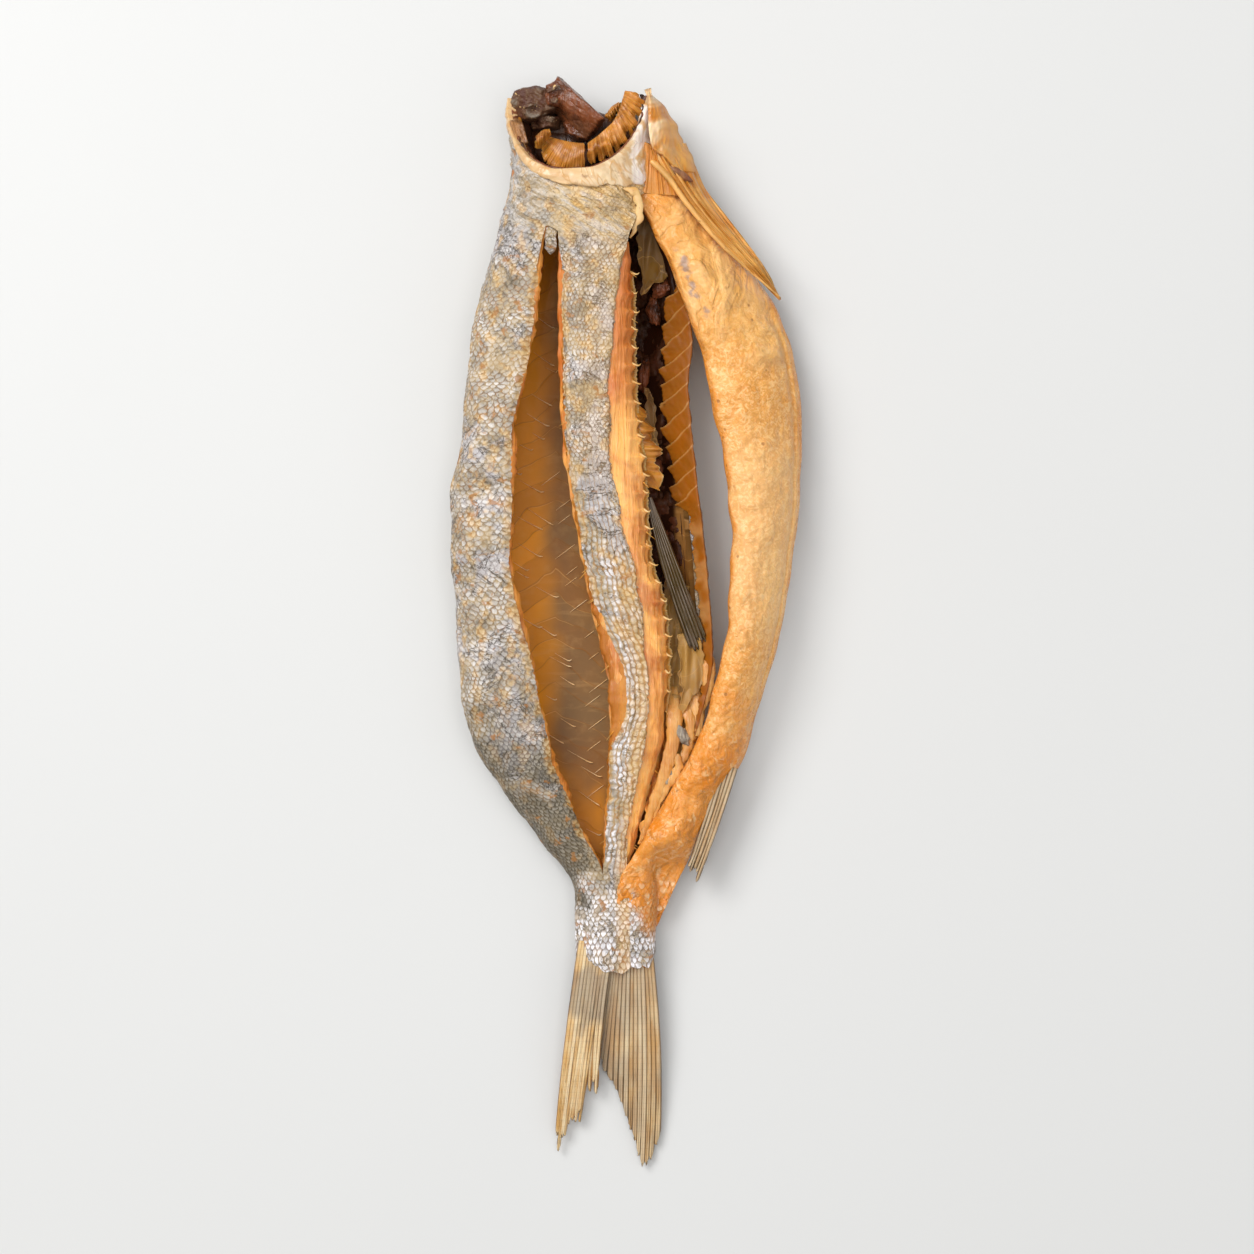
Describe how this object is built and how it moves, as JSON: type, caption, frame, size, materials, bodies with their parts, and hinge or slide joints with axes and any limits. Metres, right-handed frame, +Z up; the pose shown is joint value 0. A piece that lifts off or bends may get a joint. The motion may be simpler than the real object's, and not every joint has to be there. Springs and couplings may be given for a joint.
{
  "type": "dried fish",
  "caption": "Headless dried fish, slit along its flank into strips that join at the gill collar and at the tail root, with dried fins and an open body cavity.",
  "frame": {"origin": "centre of the bounding box's footprint, on the surface that the fish lies on", "axes": "+Y along the fish towards the cut head end, the tail at -Y, +X to the belly side, +Z up out of the flank it lies on"},
  "size_m": [0.0671, 0.2058, 0.0236],
  "materials": {
    "dried_fish": "satin"
  },
  "bodies": {
    "root": {"dried_fish": "dried_fish"}
  },
  "joints": []
}
